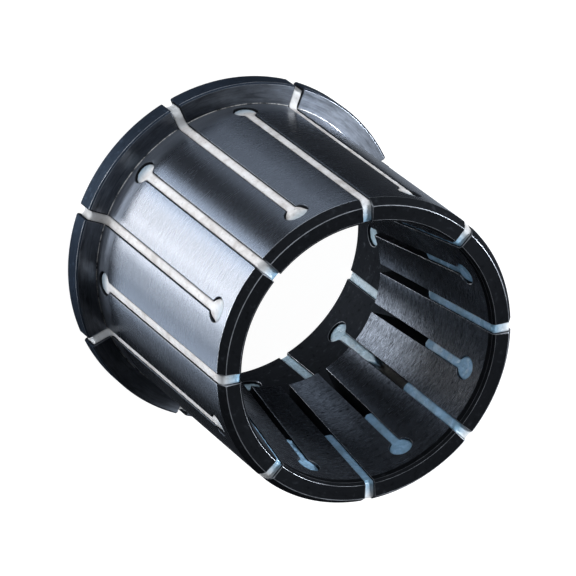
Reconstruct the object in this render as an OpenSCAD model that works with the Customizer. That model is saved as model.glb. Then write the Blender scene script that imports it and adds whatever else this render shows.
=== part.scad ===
// Flanged clamping sleeve: a turned steel sleeve with a steep taper inside,
// slotted alternately from both ends, with an elastomer strip bonded into
// every slot so that the sleeve can expand and spring back.
//
// Frame: the origin is the centre of the flange's back face, +Z runs along the
// sleeve's axis towards the free front end, and +X runs through a front slot.
// All sizes are in millimetres.

/* [Body] */
// Clamping diameter: the outside of the body
body_d = 53; // [52:0.5:56]
// Overall length, from the flange's back face to the front face
length = 54.5; // [53:0.5:64]
// Lead-in chamfer at the front, measured across the radius
lead_r = 1.0; // [0.4:0.1:1.4]
// Lead-in chamfer at the front, measured along the axis
lead_l = 1.5; // [0.6:0.1:1.8]

/* [Flange] */
// How far the flange stands out from the body
flange_w = 3.75; // [2.5:0.25:6]
// Thickness of the flange
flange_t = 4.0; // [3.2:0.1:4.4]
// Edge break on both corners of the flange's rim
rim_break = 0.3; // [0.1:0.05:0.6]
// Fillet between the flange and the body
root_fillet = 0.4; // [0.2:0.05:0.5]

/* [Inside] */
// Bore behind the taper, open at the flange's back face
rear_bore_d = 47; // [45:0.5:48]
// Entry chamfer of the rear bore
rear_chamfer = 1.2; // [0.4:0.1:1.6]
// Where the taper starts, measured from the back face
taper_z = 21.3; // [18:0.1:26]
// Large end of the taper, at the front
taper_mouth_d = 45.2; // [43:0.1:45.6]
// Angle between the taper's wall and the axis
taper_angle = 8; // [6:0.25:8.5]
// Edge break at the mouth of the taper
mouth_break = 0.45; // [0.2:0.05:0.6]

/* [Slots] */
// Width of every slot
slot_w = 1.6; // [1.2:0.1:2]
// Relief hole at the blind end of every slot
key_d = 4; // [3.2:0.1:4.4]
// Centre of the relief holes of the front slots, near the flange
front_key_z = 7.0; // [6.8:0.1:9]
// Distance of the rear slots' relief holes from the front face
rear_key_gap = 5.8; // [5:0.1:8]

/* [Elastomer] */
// How deep the elastomer lies below the outside of the body
fill_sink = 0.05; // [0.05:0.05:0.25]
// How deep it lies below the bore and the taper
fill_inset = 0.1; // [0.05:0.05:0.2]
// How deep it lies below the front face and the back face
fill_end_sink = 0.4; // [0.2:0.05:0.45]
// How deep it lies below the flange's rim
fill_rim_sink = 0.95; // [0.6:0.05:1.4]
// Thickness of the thin web that is left between the two flush lengths
fill_web = 1.35; // [0.8:0.05:2]
// Where the flush length at the back runs out
fill_back_z = 20; // [12:0.5:21]
// Where the flush length at the front begins
fill_front_z = 37; // [30:0.5:42]

/* [Hidden] */
NODES = ["sleeve",
         "front_slot_strip_1", "front_slot_strip_2", "front_slot_strip_3", "front_slot_strip_4",
         "front_slot_strip_5", "front_slot_strip_6", "front_slot_strip_7", "front_slot_strip_8",
         "rear_slot_strip_1", "rear_slot_strip_2", "rear_slot_strip_3", "rear_slot_strip_4",
         "rear_slot_strip_5", "rear_slot_strip_6", "rear_slot_strip_7", "rear_slot_strip_8"];
pairs = (len(NODES) - 1) / 2;      // front slots, and as many rear slots
pitch = 360 / pairs;
body_r = body_d / 2;
rim_r = body_r + flange_w;
bore_r = rear_bore_d / 2;
mouth_r = taper_mouth_d / 2;
mouth_z = length - mouth_break;
rear_key_z = length - rear_key_gap;
far = rim_r + 2;                   // a radius outside everything
$fn = 128;

// Radius of the taper at height z
function taper_r(z) = mouth_r - (mouth_z - z) * tan(taper_angle);

// ---------------------------------------------------------------- cutters

// One slot that is open at the front, with its relief hole near the flange
module front_cut(i) {
    rotate([0, 0, pitch * (i - 1)]) {
        translate([0, -slot_w / 2, front_key_z]) cube([far, slot_w, length]);
        translate([0, 0, front_key_z]) rotate([0, 90, 0]) cylinder(d = key_d, h = far);
    }
}

// One slot that is open through the flange, with its relief hole near the front
module rear_cut(i) {
    rotate([0, 0, pitch * (i - 0.5)]) {
        translate([0, -slot_w / 2, -2]) cube([far, slot_w, rear_key_z + 2]);
        translate([0, 0, rear_key_z]) rotate([0, 90, 0]) cylinder(d = key_d, h = far);
    }
}

// ---------------------------------------------------------------- sleeve

// Half section of the steel, radius across and height up
module sleeve_section() {
    polygon([
        [bore_r + rear_chamfer, 0],
        [rim_r - rim_break, 0],
        [rim_r, rim_break],
        [rim_r, flange_t - rim_break],
        [rim_r - rim_break, flange_t],
        [body_r, flange_t],
        [body_r, length - lead_l],
        [body_r - lead_r, length],
        [mouth_r + mouth_break, length],
        [mouth_r, mouth_z],
        [taper_r(taper_z), taper_z],
        [bore_r, taper_z],
        [bore_r, rear_chamfer]
    ]);
    // the fillet at the foot of the flange
    difference() {
        translate([body_r - 0.5, flange_t - 0.5]) square(root_fillet + 0.5);
        translate([body_r + root_fillet, flange_t + root_fillet]) circle(r = root_fillet);
    }
}

module sleeve() {
    color("#4c5764")
    difference() {
        rotate_extrude() sleeve_section();
        for (i = [1 : pairs]) {
            front_cut(i);
            rear_cut(i);
        }
    }
}

// ---------------------------------------------------------------- elastomer

web_r = body_r - fill_sink - fill_web;      // inside of the thin web
flat_r = bore_r + fill_inset;               // inside of the flush length at the back
run_z = fill_back_z + 3.5;                  // where the slope down to the web ends
end_z = length - fill_end_sink;

// Half section of a strip in a front slot
module front_strip_section() {
    polygon([
        [flat_r, flange_t + root_fillet],
        [body_r - fill_sink, flange_t + root_fillet],
        [body_r - fill_sink, length - lead_l - 0.2],
        [body_r - lead_r - 0.05, end_z],
        [mouth_r + mouth_break, end_z],
        [taper_r(mouth_z - 0.3) + fill_inset, mouth_z - 0.3],
        [taper_r(fill_front_z) + fill_inset, fill_front_z],
        [web_r, fill_front_z],
        [web_r, run_z],
        [flat_r, fill_back_z]
    ]);
}

// Half section of a strip in a rear slot, which reaches out through the flange
module rear_strip_section() {
    polygon([
        [bore_r + rear_chamfer, fill_end_sink],
        [rim_r - fill_rim_sink + 0.4, fill_end_sink],
        [rim_r - fill_rim_sink + 0.4, flange_t - fill_sink],
        [body_r + root_fillet, flange_t - fill_sink],
        [body_r - fill_sink, flange_t + root_fillet],
        [body_r - fill_sink, rear_key_z + key_d],
        [taper_r(rear_key_z + key_d) + fill_inset, rear_key_z + key_d],
        [taper_r(fill_front_z) + fill_inset, fill_front_z],
        [web_r, fill_front_z],
        [web_r, run_z],
        [flat_r, fill_back_z],
        [flat_r, rear_chamfer + fill_end_sink]
    ]);
}

module front_slot_strip(i) {
    color("#e9e4e0")
    intersection() {
        rotate_extrude() front_strip_section();
        front_cut(i);
    }
}

module rear_slot_strip(i) {
    color("#e9e4e0")
    difference() {
        intersection() {
            rotate_extrude() rear_strip_section();
            rear_cut(i);
        }
        // the strip's end below the rim is dished, and climbs the slot's walls
        rotate([0, 0, pitch * (i - 0.5)])
            translate([rim_r - fill_rim_sink + slot_w * 0.65, 0, -1])
                cylinder(r = slot_w * 0.65, h = flange_t + 2);
    }
}

// ---------------------------------------------------------------- nodes

sleeve();
front_slot_strip(1);  // front_slot_strip_1
front_slot_strip(2);  // front_slot_strip_2
front_slot_strip(3);  // front_slot_strip_3
front_slot_strip(4);  // front_slot_strip_4
front_slot_strip(5);  // front_slot_strip_5
front_slot_strip(6);  // front_slot_strip_6
front_slot_strip(7);  // front_slot_strip_7
front_slot_strip(8);  // front_slot_strip_8
rear_slot_strip(1);  // rear_slot_strip_1
rear_slot_strip(2);  // rear_slot_strip_2
rear_slot_strip(3);  // rear_slot_strip_3
rear_slot_strip(4);  // rear_slot_strip_4
rear_slot_strip(5);  // rear_slot_strip_5
rear_slot_strip(6);  // rear_slot_strip_6
rear_slot_strip(7);  // rear_slot_strip_7
rear_slot_strip(8);  // rear_slot_strip_8
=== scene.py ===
import math
import random

import bpy
import numpy as np
from mathutils import Matrix, Vector
from mathutils.geometry import tessellate_polygon


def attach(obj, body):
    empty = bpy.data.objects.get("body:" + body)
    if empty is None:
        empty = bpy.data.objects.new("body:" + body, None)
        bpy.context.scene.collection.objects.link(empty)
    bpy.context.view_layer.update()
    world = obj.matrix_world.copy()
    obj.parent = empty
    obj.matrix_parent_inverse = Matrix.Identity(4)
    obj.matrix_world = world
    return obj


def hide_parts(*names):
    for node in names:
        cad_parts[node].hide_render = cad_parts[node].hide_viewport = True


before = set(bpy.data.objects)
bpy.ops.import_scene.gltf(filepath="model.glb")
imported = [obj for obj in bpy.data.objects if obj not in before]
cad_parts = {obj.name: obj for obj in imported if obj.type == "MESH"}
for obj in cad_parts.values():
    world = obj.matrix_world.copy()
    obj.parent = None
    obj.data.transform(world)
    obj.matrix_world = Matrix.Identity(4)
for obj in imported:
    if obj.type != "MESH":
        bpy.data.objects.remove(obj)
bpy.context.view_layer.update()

# ------------------------------------------------------------------ sizes, in millimetres
# The sleeve stands on its flange: the origin is the centre of the flange's back face, +Z runs to the
# free front end, and +X runs through a slot that is open at the front.
BODY_R, LENGTH = 26.5, 54.5
RIM_R, FLANGE_T = 30.25, 4.0
BORE_R, TAPER_Z, MOUTH_R, MOUTH_Z = 23.5, 21.3, 22.6, 54.05
TAPER_T = math.tan(math.radians(8.0))
SLOT_H = 0.8                       # half the width of a slot
KEY_R = 2.0                        # relief hole
KEY_FRONT_Z, KEY_REAR_Z = 7.0, 48.7
PAIRS = 8
HALF_PITCH = math.pi / PAIRS       # from a front slot to the next rear slot
EDGE_OUT, EDGE_IN = 0.26, 0.08      # broken edges along the slots, outside and inside
NECK_FRONT, NECK_REAR = 0.75, 0.35   # fillets where a slot runs into its relief hole
MM = 0.001


def taper_r(z):
    return MOUTH_R - (MOUTH_Z - z) * TAPER_T


# ------------------------------------------------------------------ section of the steel
# corner: radius, height, rounding
SECTION = [
    (24.70, 0.00, 0.10), (29.95, 0.00, 0.10), (30.25, 0.30, 0.12), (30.25, 3.70, 0.12), (29.95, 4.00, 0.12),
    (26.50, 4.00, 0.16), (26.50, 53.00, 0.20), (25.50, 54.50, 0.22), (23.05, 54.50, 0.10), (22.60, 54.05, 0.12),
    (taper_r(TAPER_Z), 21.30, 0.10), (23.50, 21.30, 0.25), (23.50, 1.20, 0.15)]
OUTER, TAPER, BORE = 5, 9, 11      # the straight run that starts at this corner
INSIDE_RUNS = (8, 9, 10, 11, 12)
HOLLOW = (5, 11)                   # corners that point into the metal
RUBBED = {3: 1.3, 4: 0.7, 6: 2.0, 7: 1.0, 9: 0.75}   # corners that have lost more of their blackening than the others


def rounded(corners, extra):
    """The closed section with its corners rounded: [R, z, outward nR, outward nz, run, wear, inset] in order, with more
    points at the heights that extra gives for a straight run. inset is where an edge that is set in further than the
    rounding turns: the sharp corner, the way in from it, and the rounding."""
    n = len(corners)
    out = []
    pts = [np.array(c[:2]) for c in corners]
    for i in range(n):
        a, b, c = pts[i - 1], pts[i], pts[(i + 1) % n]
        d0, d1 = (b - a) / np.linalg.norm(b - a), (c - b) / np.linalg.norm(c - b)
        n0, n1 = np.array([d0[1], -d0[0]]), np.array([d1[1], -d1[0]])
        turn = math.atan2(d0[0] * d1[1] - d0[1] * d1[0], float(d0 @ d1))
        r = corners[i][2]
        t = r * math.tan(abs(turn) / 2)
        side = 1.0 if turn > 0 else -1.0
        centre = b - d0 * t - n0 * r * side
        steps = max(2, math.ceil(abs(turn) / math.radians(20)))
        inset = None if turn < 0 else (*b, *((n0 + n1) / (1 + n0 @ n1)), r)
        for k in range(steps + 1):
            w = turn * k / steps
            nn = np.array([n0[0] * math.cos(w) - n0[1] * math.sin(w), n0[0] * math.sin(w) + n0[1] * math.cos(w)])
            out.append((*(centre + nn * r * side), *nn, i, 0.0 if k in (0, steps) or i in HOLLOW else RUBBED.get(i, 1.0), inset))
        for z in extra.get(i, ()):
            s = (z - b[1]) / (c[1] - b[1])
            out.append((*(b + (c - b) * s), *n1, i, 0.0, None))
    return out


def outline(zc, way, neck, arcs=15, fillets=6):
    """Half of a relief hole and its neck into the slot, in the slot's own plane: [y, z, ny, nz] from the hole's far end
    to the start of the straight wall. The normal points into the metal."""
    big, lane = KEY_R + neck, SLOT_H + neck
    rise = math.sqrt(big * big - lane * lane)
    last = math.pi - math.atan2(lane, rise)
    pts = []
    for k in range(arcs + 1):
        p = last * k / arcs
        ny, nz = math.sin(p), -way * math.cos(p)
        pts.append((KEY_R * ny, zc + KEY_R * nz, ny, nz))
    start = math.atan2(rise, lane)
    for k in range(1, fillets + 1):
        b = start * (1 - k / fillets)
        ny, nz = math.cos(b), way * math.sin(b)
        pts.append((lane - neck * ny, zc + way * rise - neck * nz, ny, nz))
    return pts


FRONT_HOLE = outline(KEY_FRONT_Z, 1, NECK_FRONT)
REAR_HOLE = outline(KEY_REAR_Z, -1, NECK_REAR)


def mesh_object(name, verts, faces, normals=None, edges=None, merge=2e-4):
    """A mesh from points in millimetres. Points closer than merge become one."""
    v = np.asarray(verts, float)
    key = np.round(v / merge).astype(np.int64)
    _, first, back = np.unique(key, axis=0, return_index=True, return_inverse=True)
    back = back.reshape(-1)
    v2 = v[first]
    clean = []
    for f in faces:
        g = []
        for i in f:
            j = int(back[i])
            if not g or g[-1] != j:
                g.append(j)
        if len(g) > 1 and g[0] == g[-1]:
            g.pop()
        if len(g) >= 3:
            clean.append(g)
    me = bpy.data.meshes.new(name)
    me.from_pydata((v2 * MM).tolist(), [], clean)
    me.validate()
    me.polygons.foreach_set("use_smooth", [True] * len(me.polygons))
    if edges is not None:
        # how much of an edge each point is, for the material
        for label, values in edges.items():
            amount = np.zeros(len(v2))
            np.maximum.at(amount, back, np.asarray(values, float))
            me.attributes.new(label, "FLOAT", "POINT").data.foreach_set("value", amount)
    if normals is not None:
        nn = np.zeros_like(v2)
        np.add.at(nn, back, np.asarray(normals, float))
        nn /= np.maximum(np.linalg.norm(nn, axis=1, keepdims=True), 1e-9)
        me.normals_split_custom_set_from_vertices(nn.tolist())
    me.update()
    ob = bpy.data.objects.new(name, me)
    bpy.context.scene.collection.objects.link(ob)
    return ob


def flat_fill(loop, points, want):
    """Triangles that fill a flat loop of vertex indices, all facing the direction want."""
    loop = [i for k, i in enumerate(loop) if np.linalg.norm(np.asarray(points[i]) - np.asarray(points[loop[k - 1]])) > 1e-6]
    tris = tessellate_polygon([[Vector(points[i]) for i in loop]])
    out = []
    for t in tris:
        a, b, c = (loop[i] for i in t)
        n = (Vector(points[b]) - Vector(points[a])).cross(Vector(points[c]) - Vector(points[a]))
        out.append((a, b, c) if n.dot(Vector(want)) > 0 else (a, c, b))
    return out


# ------------------------------------------------------------------ steel sleeve
def sleeve_sector():
    """One of the sixteen equal lanes, from the middle of a front slot (angle 0) to the middle of the next rear slot."""
    def ring(hole, e):
        return sorted(p[1] + e * p[3] for p in hole)

    out_a, out_b = ring(FRONT_HOLE, EDGE_OUT), ring(REAR_HOLE, EDGE_OUT)
    in_a, in_b = ring(FRONT_HOLE, EDGE_IN), ring(REAR_HOLE, EDGE_IN)
    mid = list(np.linspace(out_a[-1], out_b[0], 9)[1:-1])
    outer = out_a + mid + out_b
    taper = in_b[::-1] + list(np.linspace(in_b[0], 21.9, 8)[1:])
    bore = list(np.linspace(20.6, in_a[-1], 5)[:-1]) + in_a[::-1]
    rows = rounded(SECTION, {OUTER: outer, TAPER: taper, BORE: bore})
    # each row knows whether the front slot (a) and the rear slot (b) cut it, and where on the hole's outline it is
    info = []
    for (r, z, nr, nz, run, _, _) in rows:
        a = b = None
        ring_a, ring_b = (in_a, in_b) if run in INSIDE_RUNS else (out_a, out_b)
        if run in (OUTER, TAPER, BORE) or run in (6, 7, 8):
            hit = [k for k, q in enumerate(ring_a) if abs(q - z) < 1e-9]
            if hit and run in (OUTER, BORE):
                a = hit[0]
            elif z > ring_a[-1]:
                a = "wall"
        elif run == 10:
            a = "wall"
        if not (run in (6, 7, 8)) and z <= ring_b[-1] + 1e-9:
            hit = [k for k, q in enumerate(ring_b[::-1]) if abs(q - z) < 1e-9]
            if hit and run in (OUTER, TAPER):
                b = hit[0]
            elif z < ring_b[0]:
                b = "wall"
        info.append((a, b))
    cols, seg = 12, 3
    verts, norms, edge_marks = [], [], []

    def add(r, y, z, nr, nt, nz, rear, edge_mark):
        """A point at radius r and distance y from the slot's own plane."""
        x = math.sqrt(max(r * r - y * y, 0.0))
        th = math.atan2(y, x)
        # nr: along the radius at that point; nt: along y
        n = np.array([nr * math.cos(th), nr * math.sin(th) + nt, nz])
        p = np.array([x, y, z])
        if rear:
            p[1], n[1] = -p[1], -n[1]
            c, s = math.cos(HALF_PITCH), math.sin(HALF_PITCH)
            p = np.array([c * p[0] - s * p[1], s * p[0] + c * p[1], p[2]])
            n = np.array([c * n[0] - s * n[1], s * n[0] + c * n[1], n[2]])
        verts.append(p)
        norms.append(n / np.linalg.norm(n))
        edge_marks.append(edge_mark)
        return len(verts) - 1

    def slope(run):
        return TAPER_T if run == TAPER else 0.0

    grid = []
    for (r, z, nr, nz, run, corner, inset), (a, b) in zip(rows, info):
        edge = EDGE_IN if run in INSIDE_RUNS else EDGE_OUT
        rubbed = run in INSIDE_RUNS or run == 7
        line = {}
        ends = []
        for rear, state, hole in ((False, a, FRONT_HOLE), (True, b, REAR_HOLE)):
            if state is None:
                ends.append(0.0)
                continue
            if state == "wall":
                py, pz, ny, nzz = SLOT_H, z, 1.0, 0.0
            else:
                py, pz, ny, nzz = hole[state]
            ends.append(py + edge * ny)
            for k in range(1, seg + 1):
                w = math.pi / 2 * k / seg
                off, deep = edge * (1 - math.sin(w)), edge * (1 - math.cos(w))
                zz = pz + nzz * off
                rr = r + (zz - z) * slope(run)
                inner_r, inner_z = rr - nr * deep, zz - nz * deep
                if inset is not None and deep > inset[4]:
                    inner_r, inner_z = inset[0] - inset[2] * deep, inset[1] - inset[3] * deep
                # the second number darkens the slot edge: painted shade for the dark lines along the strips
                i = add(inner_r, py + ny * off, inner_z,
                        nr * math.cos(w), -ny * math.sin(w), nz * math.cos(w) - nzz * math.sin(w), rear,
                        (0.0 if k == seg or not rubbed else 1.0, 0.0 if rubbed else (0.5, 1.0, 1.0)[k - 1]))
                line[(-k) if not rear else (cols + k)] = i
        t0, t1 = math.asin(ends[0] / r), HALF_PITCH - math.asin(ends[1] / r)
        for j in range(cols + 1):
            th = t0 + (t1 - t0) * j / cols
            verts.append(np.array([r * math.cos(th), r * math.sin(th), z]))
            norms.append(np.array([nr * math.cos(th), nr * math.sin(th), nz]))
            edge_marks.append((corner, 0.0))
            line[j] = len(verts) - 1
        grid.append(line)
    faces = []
    n = len(grid)
    for i in range(n):
        lo, hi = grid[i], grid[(i + 1) % n]
        for j in range(-seg, cols + seg):
            if j in lo and j + 1 in lo and j in hi and j + 1 in hi:
                faces.append((lo[j], lo[j + 1], hi[j + 1], hi[j]))
    # the slots' walls: a strip through the relief hole, then one flat wall
    for side, hole, first_run, last_run in ((0, FRONT_HOLE, OUTER, BORE), (1, REAR_HOLE, OUTER, TAPER)):
        col = -seg if side == 0 else cols + seg
        of_t = {}
        for (r, z, nr, nz, run, _, _), st, line in zip(rows, info, grid):
            if isinstance(st[side], int):
                of_t.setdefault(st[side], {})[run] = line[col]
        last = len(hole) - 1
        for t in range(last):
            o0, o1 = of_t[t][first_run], of_t[t + 1][first_run]
            i0, i1 = of_t[t][last_run], of_t[t + 1][last_run]
            faces.append((o0, o1, i1, i0))
        order = [line[col] for line, st in zip(grid, info) if st[side] == "wall" or st[side] == last]
        rows_in = [k for k, st in enumerate(info) if st[side] == "wall" or st[side] == last]
        # the rear slot's rows wrap round the end of the list
        if side == 1:
            cut = next(k for k in range(len(rows_in) - 1) if rows_in[k + 1] != rows_in[k] + 1)
            order = order[cut + 1:] + order[:cut + 1]
        nrm = norms[order[0]] * 0
        for k in order:
            nrm = nrm + norms[k]
        faces += flat_fill(order, verts, nrm)
    return np.array(verts), np.array(norms), np.array(edge_marks), faces


def whole(verts, norms, edge_marks, faces, pairs=PAIRS):
    """The lane, its mirror image, and both turned to every slot: points, faces, normals and broken edges."""
    vs, ns, fs = [], [], []
    for m in range(pairs):
        for flip in (1, -1):
            base = sum(len(v) for v in vs)
            v, n = verts * [1, flip, 1], norms * [1, flip, 1]
            c, s = math.cos(2 * HALF_PITCH * m), math.sin(2 * HALF_PITCH * m)
            turn = np.array([[c, s, 0], [-s, c, 0], [0, 0, 1]])
            vs.append(v @ turn)
            ns.append(n @ turn)
            fs += [tuple(base + i for i in (f if flip > 0 else f[::-1])) for f in faces]
    return np.concatenate(vs), fs, np.concatenate(ns), {
        "broken_edge": np.tile(edge_marks[:, 0], 2 * pairs), "slot_edge": np.tile(edge_marks[:, 1], 2 * pairs)}


sleeve = mesh_object("sleeve_turned", *whole(*sleeve_sector()))


# ------------------------------------------------------------------ elastomer strips
def smooth(a, b, x):
    """0 at a and 1 at b, with a soft start and end. a may be the greater one."""
    t = min(1.0, max(0.0, (x - a) / (b - a)))
    return t * t * (3 - 2 * t)


def wavy(rng, size, waves=5, low=0.08, high=0.9):
    """A quiet, repeatable wobble along a strip."""
    parts = [(rng.uniform(low, high), rng.uniform(0, 6.283), rng.uniform(0.4, 1.0)) for _ in range(waves)]
    total = sum(p[2] for p in parts)
    return lambda x: size * sum(w * math.sin(6.283 * f * x + ph) for f, ph, w in parts) / total


ACROSS = [0.0, 0.16, 0.32, 0.47, 0.61, 0.73, 0.83, 0.90, 0.955, 1.0]


def steps(a, b, pitch):
    n = max(2, math.ceil(abs(b - a) / pitch))
    return [a + (b - a) * k / n for k in range(n + 1)]


def strip(name, kind, index, front_z, back_z):
    """One strip, cast into its slot. kind is 'front' or 'rear'. front_z and back_z are where the two flush lengths
    inside end."""
    rng = random.Random(1000 + index * 7 + (500 if kind == "rear" else 0))
    front = kind == "front"
    hole, zc = (FRONT_HOLE, KEY_FRONT_Z) if front else (REAR_HOLE, KEY_REAR_Z)
    way = 1 if front else -1               # from the hole into the slot
    out_wave, in_wave, web_wave = wavy(rng, 0.035), wavy(rng, 0.05, 6, 0.1, 0.7), wavy(rng, 0.10)
    lump = [wavy(rng, 0.055, 6, 0.35, 1.25) for _ in range(3)]
    rim_l, rim_r = wavy(rng, 0.16, 7, 0.3, 1.3), wavy(rng, 0.16, 7, 0.3, 1.3)
    flip_wave = wavy(rng, 0.02)
    skew = rng.uniform(-0.35, 0.35)
    tail = rng.uniform(1.8, 3.0)
    web_r = 25.0

    def edge(d, reach=0.16):
        """1 at a wall of the slot, and 0 further in."""
        return math.exp(-max(d, 0.0) / reach)

    def to_wall(z, u, w):
        """Distance to the wall, across the slot or towards the far end of the relief hole."""
        y = abs(u * w)
        d = (1 - abs(u)) * w
        h = (z - zc) * way
        if h < 0:
            d = min(d, max(0.0, KEY_R - math.hypot(y, h)))
        return d

    def in_hole(z):
        return 1.0 - smooth(0.2, 2.0, (z - zc) * way)

    def outer_r(z, u, w):
        d = to_wall(z, u, w)
        y = abs(u * w)
        c = edge(d, 0.13)
        r = BODY_R - 0.10 - 0.26 * c + (out_wave(z) + lump[0](z + u) * 0.5) * (1 - c) + flip_wave(z * 1.7 + u)
        hole_part = in_hole(z)
        if hole_part > 0:
            if front:
                sag = 0.26 - 0.10 * smooth(0.0, 1.6, d)
            else:
                # the lane runs on into the hole as a low ridge, with hollows on both sides of it
                beside = smooth(0.70, 1.05, y)
                near = smooth(-0.9, 1.3, (z - zc) * way)
                sag = 0.18 + 0.50 * beside * near
            r -= sag * hole_part
        return r

    def inner_r(z, u, w):
        d = to_wall(z, u, w)
        c = edge(d)
        fuzz = (in_wave(z) + lump[1](z * 1.3 + u * 0.7) + lump[2](z - u * 1.4)) * (1 - c)
        flush_bore = BORE_R + 0.18 + 0.16 * c - fuzz
        flush_taper = taper_r(z) + 0.18 + 0.16 * c - fuzz
        # behind the lump at its deep end, each flush length is a little hollow
        flush_taper += 0.16 * smooth(front_z + 0.9, front_z + 1.6, z) * smooth(front_z + 5.5, front_z + 2.4, z) * (1 - c)
        if in_hole(z) > 0:
            sag = in_hole(z) * (0.16 + 0.12 * edge(d, 0.25))
            flush_bore += sag
            flush_taper += sag
        web = web_r + 0.25 * (1 - c) - 0.2 + web_wave(z) * (1 - c)
        shift = (rim_l(z) if u < 0 else rim_r(z)) * 2.2
        zb = back_z + tail * (1 - abs(u + skew * 0.5)) - 1.0 + shift     # the flush length ends in a ragged point
        kb = smooth(zb - 0.35, zb + 0.75, z)
        zf = front_z + 0.5 * u * skew - 0.25 * (1 - abs(u)) + lump[0](u * 2.0) * 2.0
        kf = smooth(zf, zf + 0.7, z)
        r = flush_bore + (web - flush_bore) * kb
        return r + (flush_taper - r) * kf

    rows = []      # z as a function of u, half width, radius as a function of u
    holes = [(p[0], p[1]) for p in hole]
    neck_z = holes[-1][1]

    def plain(z, w, fr):
        rows.append([(lambda u: z), w, (lambda u: fr(z, u, w))])

    def free(fz, fr):
        rows.append([fz, SLOT_H, fr])

    for w, z in holes:
        plain(z, w, outer_r)
    if front:
        for z in steps(neck_z, 52.6, 0.9)[1:]:
            plain(z, SLOT_H, outer_r)
        # over the front end, which lies below the front face and is dished
        for r, z in [(26.20, 53.25), (25.92, 53.68), (25.62, 53.98), (25.2, 54.08), (24.6, 54.05), (24.0, 54.05),
                     (23.4, 54.07), (23.05, 54.0), (22.86, 53.8)]:
            free(lambda u, z=z, r=r: z - 0.24 * (1 - edge((1 - abs(u)) * SLOT_H * 0.8)) + flip_wave(r * 3 + u) + lump[1](r * 1.5 + u) * 0.6,
                 lambda u, r=r: r)
        back = (steps(53.5, front_z + 1.2, 0.6) + steps(front_z + 1.0, front_z - 0.7, 0.14) + steps(front_z - 1.8, back_z + 3.6, 1.2)
                + steps(back_z + 3.2, back_z - 1.9, 0.26) + steps(back_z - 2.3, neck_z, 0.45))
    else:
        for z in steps(neck_z, 4.75, 0.9)[1:]:
            plain(z, SLOT_H, outer_r)
        # round the foot of the body, out over the flange, down its rim, back under it and up into the bore
        for r, z in [(26.38, 4.45), (26.5, 4.18), (26.72, 3.98), (27.0, 3.88), (27.6, 3.84), (28.2, 3.82), (28.75, 3.8),
                     (29.1, 3.74)]:
            free(lambda u, z=z, r=r: z - 0.08 * edge((1 - abs(u)) * SLOT_H, 0.1) + flip_wave(r * 2 + u) + lump[1](r * 1.1 + u) * 0.5,
                 lambda u, r=r: r + 0.02 * u)
        tilt = rng.uniform(-0.18, 0.18)
        for r, z in [(29.24, 3.6), (29.3, 3.3), (29.32, 2.7), (29.3, 2.0), (29.32, 1.3), (29.28, 0.8), (29.2, 0.52)]:
            free(lambda u, z=z: z,
                 lambda u, r=r, z=z: r + 0.38 * edge((1 - abs(u)) * SLOT_H * 0.75) + tilt * u + flip_wave(z * 4 + u))
        for r, z in [(29.0, 0.42), (28.2, 0.4), (27.2, 0.42), (26.2, 0.4), (25.4, 0.44), (24.8, 0.6), (24.2, 1.05),
                     (23.75, 1.6)]:
            free(lambda u, z=z: z + 0.05 - 0.1 * edge((1 - abs(u)) * SLOT_H), lambda u, r=r: r)
        back = (steps(2.1, back_z - 2.3, 0.6) + steps(back_z - 1.9, back_z + 3.2, 0.26) + steps(back_z + 3.6, front_z - 1.8, 1.2)
                + steps(front_z - 0.7, front_z + 1.0, 0.14) + steps(front_z + 1.2, neck_z, 0.45))
    for z in back:
        plain(z, SLOT_H, inner_r)
    for w, z in holes[::-1][1:]:
        plain(z, w, inner_r)
    us = [-a for a in ACROSS[:0:-1]] + ACROSS
    verts, faces, grid, sides = [], [], [], []
    for fz, w, fr in rows:
        line = []
        for u in us:
            y = u * w
            r = fr(u if w > 1e-6 else 0.0)      # the far end of the relief hole is one point across
            verts.append((math.sqrt(r * r - y * y), y, fz(u)))
            sides.append(edge(to_wall(fz(u), u, w), 0.14 + 0.06 * in_hole(fz(u))))
            line.append(len(verts) - 1)
        grid.append(line)
    n = len(grid)
    for i in range(n - 1):
        for j in range(len(us) - 1):
            f = (grid[i][j], grid[i][j + 1], grid[i + 1][j + 1], grid[i + 1][j])
            faces.append(f if way > 0 else f[::-1])
    # the two sides, which are bonded to the slot's walls
    last = len(holes) - 1
    for col, s in ((0, -1), (len(us) - 1, 1)):
        for t in range(last):
            f = (grid[t][col], grid[t + 1][col], grid[n - 2 - t][col], grid[n - 1 - t][col])
            ok = (s < 0) == (way > 0)
            faces.append(f if ok else f[::-1])
        loop = [grid[k][col] for k in range(last, n - last)]
        faces += flat_fill(loop, verts, (0, s, 0))
    angle = 2 * HALF_PITCH * (index - 1) if front else 2 * HALF_PITCH * (index - 0.5)
    v = np.array(verts)
    c, s = math.cos(angle), math.sin(angle)
    v = v @ np.array([[c, s, 0], [-s, c, 0], [0, 0, 1]])
    ob = mesh_object(name, v, faces, edges={"wall_side": sides})
    ob.data.set_sharp_from_angle(angle=math.radians(50))
    return ob


# where the flush lengths end inside, strip by strip: front end's start, rear end's finish
FLUSH = {
    ("front", 1): (36.2, 20.4), ("front", 2): (35.4, 20.1), ("front", 3): (36.6, 20.8), ("front", 4): (37.8, 20.2),
    ("front", 5): (37.4, 20.9), ("front", 6): (35.0, 20.3), ("front", 7): (36.4, 20.6), ("front", 8): (37.1, 20.0),
    ("rear", 1): (36.8, 20.5), ("rear", 2): (35.9, 20.2), ("rear", 3): (39.4, 20.6), ("rear", 4): (36.7, 20.4),
    ("rear", 5): (36.6, 20.8), ("rear", 6): (37.0, 20.1), ("rear", 7): (36.1, 20.7), ("rear", 8): (37.3, 20.3)}

strips = []
for i in range(1, PAIRS + 1):
    strips.append((strip(f"front_strip_{i}", "front", i, *FLUSH[("front", i)]), f"front_slot_strip_{i}"))
    strips.append((strip(f"rear_strip_{i}", "rear", i, *FLUSH[("rear", i)]), f"rear_slot_strip_{i}"))


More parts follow.
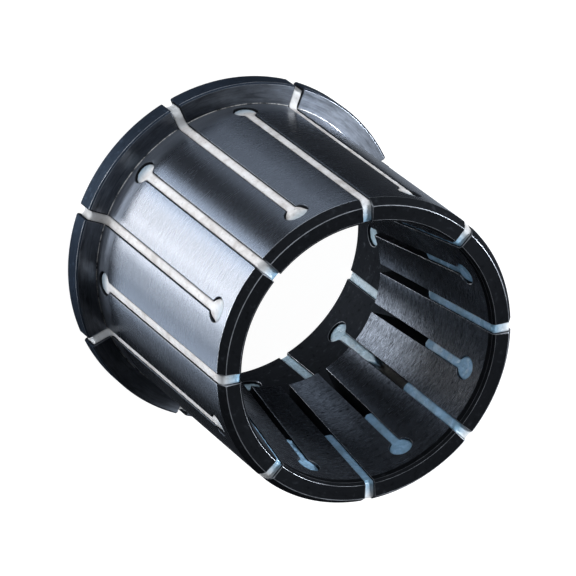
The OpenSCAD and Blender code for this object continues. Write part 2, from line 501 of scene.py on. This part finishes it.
# ------------------------------------------------------------------ materials
class Graph:
    """Short names for building a node tree."""

    def __init__(self, tree):
        self.t = tree

    def node(self, kind, **settings):
        n = self.t.nodes.new(kind)
        for k, v in settings.items():
            setattr(n, k, v)
        return n

    def put(self, socket, value):
        if isinstance(value, bpy.types.NodeSocket):
            self.t.links.new(value, socket)
        elif value is not None:
            socket.default_value = value

    def math(self, op, a, b=None, c=None, clamp=False):
        n = self.node("ShaderNodeMath", operation=op, use_clamp=clamp)
        for s, v in zip(n.inputs, (a, b, c)):
            self.put(s, v)
        return n.outputs[0]

    def noise(self, vector, scale, detail=3.0, rough=0.5, distortion=0.0):
        n = self.node("ShaderNodeTexNoise")
        self.put(n.inputs["Vector"], vector)
        n.inputs["Scale"].default_value = scale
        n.inputs["Detail"].default_value = detail
        n.inputs["Roughness"].default_value = rough
        n.inputs["Distortion"].default_value = distortion
        return n.outputs["Fac"]

    def combine(self, x, y, z):
        n = self.node("ShaderNodeCombineXYZ")
        for s, v in zip(n.inputs, (x, y, z)):
            self.put(s, v)
        return n.outputs[0]

    def remap(self, value, a, b, c, d, smooth=False):
        n = self.node("ShaderNodeMapRange", interpolation_type="SMOOTHSTEP" if smooth else "LINEAR")
        for s, v in zip(n.inputs, (value, a, b, c, d)):
            self.put(s, v)
        return n.outputs[0]

    def mix(self, fac, a, b):
        n = self.node("ShaderNodeMix", data_type="RGBA")
        self.put(n.inputs[0], fac)
        self.put(n.inputs[6], a)
        self.put(n.inputs[7], b)
        return n.outputs[2]

    def blend(self, fac, a, b):
        """A number between a and b."""
        n = self.node("ShaderNodeMix", data_type="FLOAT")
        for s, v in zip(n.inputs, (fac, None, a, b)):
            self.put(s, v)
        return n.outputs[0]

    def scale(self, colour, by):
        """A colour made darker or lighter by a number."""
        n = self.node("ShaderNodeVectorMath", operation="SCALE")
        self.put(n.inputs[0], colour)
        self.put(n.inputs["Scale"], by)
        return n.outputs[0]

    def tint(self, colour, by):
        n = self.node("ShaderNodeMix", data_type="RGBA", blend_type="MULTIPLY")
        n.inputs[0].default_value = 1.0
        self.put(n.inputs[6], colour)
        self.put(n.inputs[7], by)
        return n.outputs[2]

    def ramp(self, fac, stops):
        n = self.node("ShaderNodeValToRGB")
        e = n.color_ramp.elements
        while len(e) < len(stops):
            e.new(0.5)
        for el, (p, col) in zip(e, stops):
            el.position = p
            el.color = (*col, 1.0) if len(col) == 3 else col
        self.put(n.inputs[0], fac)
        return n.outputs[0]


def new_material(name):
    m = bpy.data.materials.new(name)
    m.use_nodes = True
    m.node_tree.nodes.clear()
    g = Graph(m.node_tree)
    out = g.node("ShaderNodeOutputMaterial")
    bsdf = g.node("ShaderNodeBsdfPrincipled")
    m.node_tree.links.new(bsdf.outputs[0], out.inputs[0])
    return m, g, bsdf


def around(g):
    """(radius, height, angle) in metres and radians of the shaded point, from its place on the object."""
    pos = g.node("ShaderNodeTexCoord").outputs["Object"]
    sep = g.node("ShaderNodeSeparateXYZ")
    g.put(sep.inputs[0], pos)
    x, y, z = sep.outputs
    r = g.math("SQRT", g.math("ADD", g.math("MULTIPLY", x, x), g.math("MULTIPLY", y, y)))
    return pos, r, z, g.math("ARCTAN2", y, x)


STEEL_BASE = (0.215, 0.235, 0.270)
STEEL_ROUGH = 0.27
STEEL_ANISO = 0.62
# how much of the ground surface's brightness the other surfaces keep: they are blackened more deeply
FLANGE_SHARE, RIM_SHARE, FRONT_SHARE, TAPER_SHARE, BORE_SHARE, WALL_SHARE = 0.54, 0.16, 0.036, 0.40, 0.085, 0.075


def steel_material():
    m, g, bsdf = new_material("blackened_turned_steel")
    pos, r, z, th = around(g)
    # turning marks: rings that depend on radius and height, short streaks along them, and a fine grain
    fine = g.noise(g.combine(g.math("MULTIPLY", r, 9000.0), g.math("MULTIPLY", z, 9000.0), g.math("MULTIPLY", th, 0.6)), 1.0, 2.0, 0.6)
    streak = g.noise(g.combine(g.math("MULTIPLY", r, 5000.0), g.math("MULTIPLY", z, 5000.0), g.math("MULTIPLY", th, 15.0)), 1.0, 2.0, 0.6)
    coarse = g.noise(g.combine(g.math("MULTIPLY", r, 1500.0), g.math("MULTIPLY", z, 1500.0), g.math("MULTIPLY", th, 0.35)), 1.0, 3.0, 0.6)
    cloud = g.noise(pos, 90.0, 4.0, 0.55)
    grain = g.noise(pos, 3200.0, 2.0, 0.6)
    speck = g.noise(pos, 900.0, 2.0, 0.5)
    tone = g.math("ADD", g.math("ADD", g.math("MULTIPLY", coarse, 0.20), g.math("MULTIPLY", grain, 0.22)),
                  g.math("ADD", g.math("MULTIPLY", streak, 0.46), g.math("MULTIPLY", cloud, 0.12)))
    dark = tuple(c * 0.89 for c in STEEL_BASE)
    light = tuple(min(1.0, c * 1.11) for c in STEEL_BASE)
    base = g.ramp(tone, [(0.37, dark), (0.63, light)])
    # the ground outside is the brightest; the flange, its rim, the front end, the bore and the slots are blacker
    outside = g.remap(r, 0.02634, 0.02646, 0.0, 1.0)
    # the bored taper has coarser marks
    torn = g.noise(g.combine(g.math("MULTIPLY", r, 4600.0), g.math("MULTIPLY", z, 4600.0), g.math("MULTIPLY", th, 8.0)), 1.0, 4.0, 0.75)
    short = g.noise(g.combine(g.math("MULTIPLY", r, 5200.0), g.math("MULTIPLY", z, 5200.0), g.math("MULTIPLY", th, 26.0)), 1.0, 2.0, 0.6)
    torn = g.math("ADD", g.math("MULTIPLY", torn, 0.45), g.math("MULTIPLY", short, 0.55))
    taper = g.remap(torn, 0.37, 0.63, TAPER_SHARE * 0.34, TAPER_SHARE * 1.66)
    inner = g.blend(g.remap(z, 0.0213, 0.0215, 0.0, 1.0), BORE_SHARE, taper)
    # the walls of the slots face along the turning marks
    sep = g.node("ShaderNodeSeparateXYZ")
    true = g.node("ShaderNodeVectorTransform", vector_type="NORMAL", convert_from="WORLD", convert_to="OBJECT")
    g.put(true.inputs[0], g.node("ShaderNodeNewGeometry").outputs["True Normal"])
    g.put(sep.inputs[0], true.outputs[0])
    along = g.math("SUBTRACT", g.math("MULTIPLY", sep.outputs[1], g.math("COSINE", th)), g.math("MULTIPLY", sep.outputs[0], g.math("SINE", th)))
    wall = g.remap(g.math("ABSOLUTE", along), 0.93, 0.97, 0.0, 1.0)
    blot = g.noise(g.combine(g.math("MULTIPLY", r, 900.0), g.math("MULTIPLY", z, 900.0), g.math("MULTIPLY", th, 9.0)), 1.0, 4.0, 0.6, 0.6)
    ring = g.noise(g.combine(g.math("MULTIPLY", r, 2600.0), g.math("MULTIPLY", z, 2600.0), g.math("MULTIPLY", th, 3.0)), 1.0, 3.0, 0.7)
    flange_share = g.remap(g.math("ADD", g.math("MULTIPLY", blot, 0.6), g.math("MULTIPLY", ring, 0.4)), 0.36, 0.64, FLANGE_SHARE * 0.64, FLANGE_SHARE * 1.26)
    smear = g.noise(g.combine(g.math("MULTIPLY", r, 700.0), g.math("MULTIPLY", z, 700.0), g.math("MULTIPLY", th, 3.2)), 1.0, 3.0, 0.55, 0.8)
    flange_share = g.math("MULTIPLY", flange_share, g.remap(smear, 0.54, 0.66, 1.0, 0.60))
    # painted shade: the spring segments stand at slightly different tilts, so each segment's flange face is painted
    # lighter or darker, as if it caught the light differently
    segment = g.math("FLOOR", g.math("SUBTRACT", 0.5, g.math("MULTIPLY", th, PAIRS / (2 * math.pi))))
    flange_share = g.math("MULTIPLY", flange_share, g.math("SUBTRACT", 1.0, g.math("MULTIPLY", g.math("SINE", g.math("MULTIPLY", segment, math.pi / 2)), 0.33)))
    share = g.blend(outside, inner, 1.0)
    share = g.blend(g.remap(z, 0.0043, 0.0040, 0.0, 1.0), share, g.blend(outside, inner, flange_share))
    rim = g.remap(r, 0.02993, 0.02999, 0.0, 1.0)
    share = g.blend(rim, share, RIM_SHARE)
    base = g.mix(rim, base, g.tint(base, (0.83, 0.99, 1.19, 1)))
    share = g.blend(g.remap(z, 0.0529, 0.05305, 0.0, 1.0), share, g.remap(r, 0.0254, 0.0256, FRONT_SHARE, FRONT_SHARE * 1.6))
    # the slots were cut and their edges broken before the blackening, which lies thick there; the walls and edges are
    # also darkened as painted shade, for the dark lines that run along the strips
    beside = g.node("ShaderNodeAttribute", attribute_type="GEOMETRY", attribute_name="slot_edge").outputs["Fac"]
    share = g.blend(g.math("MAXIMUM", wall, beside), share, WALL_SHARE)
    base = g.scale(base, share)
    # specks on the deeply blackened faces only
    black = g.remap(share, 0.12, 0.22, 1.0, 0.0)
    base = g.mix(g.math("MULTIPLY", black, g.remap(speck, 0.60, 0.76, 0.0, 1.0)), base, g.scale(base, 2.2))
    base = g.mix(g.math("MULTIPLY", black, g.remap(speck, 0.40, 0.28, 0.0, 0.7)), base, g.scale(base, 0.5))
    # the corner at the foot of the body is made almost black, with a thin broken light line along it
    foot = g.math("MULTIPLY", g.remap(r, 0.02668, 0.02664, 0.0, 1.0), g.math("MULTIPLY", g.remap(r, 0.026505, 0.02653, 0.0, 1.0), g.remap(z, 0.00416, 0.00412, 0.0, 1.0)))
    foot_line_noise = g.noise(g.combine(g.math("MULTIPLY", r, 300.0), g.math("MULTIPLY", z, 300.0), g.math("MULTIPLY", th, 16.0)), 1.0, 4.0, 0.75)
    base = g.mix(g.math("MULTIPLY", foot, 0.85), base, (0.02, 0.02, 0.022, 1))
    base = g.mix(g.math("MULTIPLY", foot, g.remap(foot_line_noise, 0.38, 0.56, 0.0, 0.9)), base, (0.58, 0.57, 0.55, 1))
    # the broken edges are brighter, where the blackening has worn
    edge = g.node("ShaderNodeAttribute", attribute_type="GEOMETRY", attribute_name="broken_edge").outputs["Fac"]
    edge_marks = g.math("MULTIPLY", g.math("POWER", edge, 1.5), g.remap(g.noise(pos, 260.0, 4.0, 0.65), 0.34, 0.60, 0.30, 1.0))
    base = g.mix(g.math("MULTIPLY", edge_marks, 0.75), base, (0.50, 0.52, 0.55, 1))
    # a deeply blackened face stays dark at a flat angle too
    glance = g.math("MAXIMUM", g.remap(share, 0.03, 0.6, 0.12, 1.0), g.math("MULTIPLY", edge_marks, 0.8))
    g.put(bsdf.inputs["Specular Tint"], g.combine(glance, glance, glance))
    g.put(bsdf.inputs["Base Color"], base)
    rough = g.math("ADD", STEEL_ROUGH - 0.04, g.math("ADD", g.math("MULTIPLY", streak, 0.04), g.math("MULTIPLY", cloud, 0.04)))
    # the flange was faced more coarsely
    faced = g.math("MULTIPLY", outside, g.remap(z, 0.0043, 0.0040, 0.0, 0.08))
    # the grinding ran out softly towards the shoulder, where the wall is duller
    dull = g.math("MULTIPLY", g.math("MULTIPLY", outside, g.remap(z, 0.0041, 0.0043, 0.0, 1.0)), g.remap(z, 0.0050, 0.0088, 0.20, 0.0))
    rough = g.math("ADD", rough, dull)
    g.put(bsdf.inputs["Roughness"], g.math("ADD", g.math("ADD", rough, faced), g.math("MULTIPLY", black, 0.12)))
    # the thick blackening is partly matt, and so are the torn marks of the taper
    bored = g.math("MULTIPLY", g.math("SUBTRACT", 1.0, outside), g.remap(z, 0.0213, 0.0215, 0.0, 0.22))
    matt = g.math("MAXIMUM", g.math("MULTIPLY", g.math("SUBTRACT", black, edge_marks, clamp=True), 0.8), bored)
    g.put(bsdf.inputs["Metallic"], g.math("SUBTRACT", 1.0, matt))
    bsdf.inputs["Specular IOR Level"].default_value = 0.0
    bsdf.inputs["Anisotropic"].default_value = STEEL_ANISO
    bsdf.inputs["Anisotropic Rotation"].default_value = 0.25
    tan = g.node("ShaderNodeTangent", direction_type="RADIAL", axis="Z")
    g.put(bsdf.inputs["Tangent"], tan.outputs[0])
    bump = g.node("ShaderNodeBump")
    bump.inputs["Strength"].default_value = 0.40
    bump.inputs["Distance"].default_value = 0.000012
    height = g.math("ADD", g.math("ADD", g.math("MULTIPLY", fine, 0.40), g.math("MULTIPLY", streak, 0.08)),
                    g.math("ADD", g.math("MULTIPLY", coarse, 0.12), g.math("MULTIPLY", grain, 0.45)))
    # inside the bore the marks are lines without grain
    height = g.blend(g.math("MULTIPLY", g.math("SUBTRACT", 1.0, outside), 0.9), height, g.math("ADD", g.math("MULTIPLY", fine, 0.35), g.math("MULTIPLY", torn, 1.0)))
    g.put(bump.inputs["Height"], height)
    g.put(bsdf.inputs["Normal"], bump.outputs[0])
    return m


def elastomer_material():
    m, g, bsdf = new_material("cast_elastomer")
    pos, r, z, th = around(g)
    mottle = g.noise(pos, 420.0, 4.0, 0.6, 0.3)
    blot = g.noise(pos, 130.0, 3.0, 0.5)
    tone = g.math("ADD", g.math("MULTIPLY", mottle, 0.6), g.math("MULTIPLY", blot, 0.4))
    base = g.ramp(tone, [(0.34, (0.56, 0.51, 0.465)), (0.52, (0.815, 0.775, 0.74)), (0.66, (0.925, 0.905, 0.885))])
    dirt = g.noise(pos, 1500.0, 2.0, 0.5)
    base = g.mix(g.remap(dirt, 0.64, 0.76, 0.0, 0.5), base, (0.30, 0.27, 0.25, 1))
    # painted shade: inside the sleeve, where less and cooler light reaches, the strips are painted greyer and bluish,
    # and a little so at both ends
    front = g.remap(z, 0.0526, 0.0535, 0.0, 1.0)
    inside = g.remap(r, g.blend(front, 0.0252, 0.0230), g.blend(front, 0.0256, 0.0258), 1.0, 0.0)
    web = g.math("MULTIPLY", g.remap(r, 0.0242, 0.0246, 0.0, 1.0), g.math("MULTIPLY", g.remap(z, 0.0205, 0.0225, 0.0, 1.0), g.remap(z, 0.0390, 0.0375, 0.0, 1.0)))
    flange = g.remap(z, 0.0046, 0.0040, 0.0, 1.0)
    rear = g.remap(z, 0.0200, 0.0235, 1.0, 0.0)
    pale = g.mix(rear, (0.345, 0.60, 0.86, 1), (0.43, 0.61, 0.73, 1))
    pale = g.mix(front, pale, (0.40, 0.64, 0.83, 1))
    # painted shade: the deep web at the bottom of the slot, which lies in the slot's shadow, is painted almost black
    inner = g.mix(web, g.tint(base, pale), g.tint(base, (0.085, 0.083, 0.072, 1)))
    # the fill over the relief holes is tinted darker and bluish towards the hole's far end
    in_front = g.remap(g.math("COSINE", g.math("MULTIPLY", th, float(PAIRS))), -0.2, 0.2, 0.0, 1.0)
    hole_far_end = g.math("MAXIMUM", g.math("MULTIPLY", in_front, g.remap(z, 0.0082, 0.0056, 0.0, 1.0)),
                  g.math("MULTIPLY", g.math("SUBTRACT", 1.0, in_front), g.remap(z, 0.0478, 0.0500, 0.0, 0.7)))
    base = g.mix(hole_far_end, base, g.tint(base, (0.56, 0.74, 0.88, 1)))
    # painted shade: over the flange the strips are painted a little greyer
    base = g.mix(flange, base, g.tint(base, (0.78, 0.81, 0.83, 1)))
    base = g.mix(inside, base, inner)
    # painted shade: at the front end the strips are painted bluish grey inwards and whitest near the outside, where
    # most light falls
    end = g.mix(g.remap(r, 0.0232, 0.0254, 0.0, 1.0), (0.67, 0.76, 0.82, 1), (0.73, 0.765, 0.79, 1))
    base = g.mix(front, base, g.tint(base, end))
    # dirt and shade in the corner along the walls of the slot
    side = g.node("ShaderNodeAttribute", attribute_type="GEOMETRY", attribute_name="wall_side").outputs["Fac"]
    grime_and_shade = g.math("MULTIPLY", g.math("POWER", side, 1.3), g.remap(blot, 0.35, 0.65, 0.75, 1.0))
    base = g.mix(g.math("MULTIPLY", grime_and_shade, g.blend(inside, 0.84, 0.97)), base, (0.035, 0.040, 0.050, 1))
    g.put(bsdf.inputs["Base Color"], base)
    flush = g.math("SUBTRACT", inside, web, clamp=True)
    g.put(bsdf.inputs["Roughness"], g.math("ADD", g.math("SUBTRACT", g.remap(mottle, 0.3, 0.7, 0.42, 0.62), g.math("MULTIPLY", flush, 0.28)), g.math("MULTIPLY", web, 0.25)))
    bsdf.inputs["Specular IOR Level"].default_value = 0.5
    bsdf.inputs["IOR"].default_value = 1.45
    bump = g.node("ShaderNodeBump")
    bump.inputs["Strength"].default_value = 0.5
    bump.inputs["Distance"].default_value = 0.00013
    lumps = g.noise(pos, 1500.0, 2.0, 0.5)
    g.put(bump.inputs["Height"], g.math("ADD", g.math("MULTIPLY", mottle, 0.6), g.math("ADD", g.math("MULTIPLY", dirt, 0.2), g.math("MULTIPLY", lumps, g.blend(inside, 0.25, 3.0)))))
    g.put(bsdf.inputs["Normal"], bump.outputs[0])
    return m


steel, elastomer = steel_material(), elastomer_material()
sleeve.data.materials.append(steel)
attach(sleeve, "root")
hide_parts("sleeve")
for ob, node in strips:
    ob.data.materials.append(elastomer)
    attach(ob, "root")
    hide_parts(node)

# ------------------------------------------------------------------ floor
me = bpy.data.meshes.new("studio_floor")
s = 1.6
me.from_pydata([(-s, -s, -2e-5), (s, -s, -2e-5), (s, s, -2e-5), (-s, s, -2e-5)], [], [(0, 1, 2, 3)])
floor = bpy.data.objects.new("studio_floor", me)
bpy.context.scene.collection.objects.link(floor)
m, g, bsdf = new_material("pale_floor")
bsdf.inputs["Base Color"].default_value = (0.20, 0.20, 0.20, 1)
bsdf.inputs["Roughness"].default_value = 0.9
bsdf.inputs["Specular IOR Level"].default_value = 0.0
bsdf.inputs["Emission Color"].default_value = (1, 1, 1, 1)      # a lit-up white table
bsdf.inputs["Emission Strength"].default_value = 0.97
me.materials.append(m)
floor.visible_glossy = False
floor.visible_shadow = False
floor.visible_diffuse = False

# ------------------------------------------------------------------ camera, from a fit to the photograph's circles and slots
cam_data = bpy.data.cameras.new("camera")
cam_data.sensor_width = 36.0
cam_data.lens = 5450.09 / 576 * 36.0
cam_data.clip_start, cam_data.clip_end = 0.05, 20.0
cam = bpy.data.objects.new("camera", cam_data)
bpy.context.scene.collection.objects.link(cam)
right = Vector((-0.649884, -0.632601, 0.421268))
up = Vector((0.537909, -0.774412, -0.333077))
back = Vector((0.536940, 0.010142, 0.843559))
cam.matrix_world = Matrix((
    (right.x, up.x, back.x, 0.4891186),
    (right.y, up.y, back.y, 0.0090070),
    (right.z, up.z, back.z, 0.7912850),
    (0, 0, 0, 1)))
bpy.context.scene.camera = cam

# ------------------------------------------------------------------ light
CENTRE = Vector((0, 0, 0.027))


def softbox(name, azimuth, elevation, power, colour=(1, 1, 1), spread=16.0, distance=1.2):
    """A round softbox that is seen from the sleeve under the half angle spread."""
    d = bpy.data.lights.new(name, "AREA")
    d.shape = "DISK"
    d.size = 2 * distance * math.tan(math.radians(spread))
    d.energy = power
    d.color = colour
    ob = bpy.data.objects.new(name, d)
    a, e = math.radians(azimuth), math.radians(elevation)
    way = Vector((math.cos(a) * math.cos(e), math.sin(a) * math.cos(e), math.sin(e)))
    ob.location = CENTRE + way * distance
    ob.rotation_mode = "QUATERNION"
    ob.rotation_quaternion = way.to_track_quat("Z", "Y")
    ob.visible_camera = False
    bpy.context.scene.collection.objects.link(ob)
    return ob


COOL, MILD, WARM = (0.76, 0.86, 1.0), (0.88, 0.93, 1.0), (1.0, 0.96, 0.92)
LIGHTS = [
    # name, azimuth, elevation, power, colour, half angle
    # high on the right, behind the body as the camera sees it
    ("right_high", -136, 42, 20.5, MILD, 6),
    ("right_higher", -146, 50, 0.6, MILD, 9),
    ("right_wide", -138, 37.5, 0.6, MILD, 16),
    ("right_top", -117, 50, 0.5, MILD, 16),
    ("right_side", -97, 31, 0.3, MILD, 16),
    # the long bright softbox on the left, in parts of different strength
    ("left_edge_1", 8, -17, 0.6, MILD, 7),
    ("left_edge_2", 34, -17, 1.3, MILD, 7),
    ("left_edge_3", 60, -17, 1.3, MILD, 7),
    ("left_upper_1", 0, -36, 0.85, MILD, 7),
    ("left_upper_2", 12, -36, 1.9, MILD, 7),
    ("left_upper_3", 24, -36, 1.5, MILD, 7),
    ("left_upper_4", 36, -36, 1.8, MILD, 7),
    ("left_upper_5", 46, -36, 1.15, MILD, 7),
    ("left_upper_6", 75, -36, 0.86, COOL, 7),
    ("left_lower_1", 0, -58, 0.75, COOL, 7),
    ("left_lower_2", 20, -58, 1.0, WARM, 7),
    ("left_lower_3", 40, -58, 0.9, WARM, 7),
    ("left_lower_4", 56, -58, 0.42, MILD, 7),
    ("left_lower_5", 81, -58, 0.42, COOL, 7),
    ("left_lower_6", 100, -58, 0.07, COOL, 7),
    ("under_left", 74, -76, 0.85, MILD, 9),
    # soft fill from around the camera
    ("fill_right", -45, 25, 1.3, MILD, 16),
    ("fill_middle", 8, 19, 1.3, MILD, 16),
    ("fill_front", -25, 10, 1.5, MILD, 16),
    ("fill_low", -57, 1, 1.0, MILD, 16),
    ("fill_lower", -37, -14, 1.1, MILD, 16),
    ("fill_level", -5, -4, 1.05, MILD, 16),
    ("fill_top", -12, 35, 1.15, MILD, 16),
    ("fill_higher", 20, 47, 1.0, MILD, 16),
    ("fill_left_top", 52, 63, 0.9, MILD, 16),
    ("fill_top_right", -40, 52, 0.5, MILD, 16),
    ("fill_left", 28, 4, 0.3, MILD, 16),
    ("fill_side", -77, 15, 0.6, MILD, 16),
    ("fill_side_low", -90, -8, 0.25, MILD, 16),
    # weak glow on the dark side and from below
    ("slate_side", -63, -40, 0.56, COOL, 9),
    ("slate_low", -50, -56, 0.18, COOL, 9),
    ("slate_upper", -40, -38, 0.24, COOL, 9),
    ("under_right", -74, -76, 0.33, COOL, 9),
    ("right_behind", -152, -46, 0.2, COOL, 12),
    ("back_low", -167, -59, 0.15, MILD, 16),
    # soft light for the far side, which the camera doesn't see
    ("far_left", 152, 4, 3.0, MILD, 16),
    ("far_right", -163, 2, 1.6, MILD, 16),
    ("far_middle", 178, 20, 0.7, MILD, 16),
]
for light in LIGHTS:
    softbox(*light)

world = bpy.data.worlds.new("studio")
world.use_nodes = True
bpy.context.scene.world = world
wg = Graph(world.node_tree)
world.node_tree.nodes.clear()
wo = wg.node("ShaderNodeOutputWorld")
seen = wg.node("ShaderNodeBackground")
seen.inputs[0].default_value = (1, 1, 1, 1)
lit = wg.node("ShaderNodeBackground")
lit.inputs[0].default_value = (0.022, 0.024, 0.028, 1)
mixw = wg.node("ShaderNodeMixShader")
wg.put(mixw.inputs[0], wg.node("ShaderNodeLightPath").outputs["Is Camera Ray"])
world.node_tree.links.new(lit.outputs[0], mixw.inputs[1])
world.node_tree.links.new(seen.outputs[0], mixw.inputs[2])
world.node_tree.links.new(mixw.outputs[0], wo.inputs[0])

bpy.context.scene.view_settings.view_transform = "Standard"
bpy.context.scene.view_settings.look = "None"
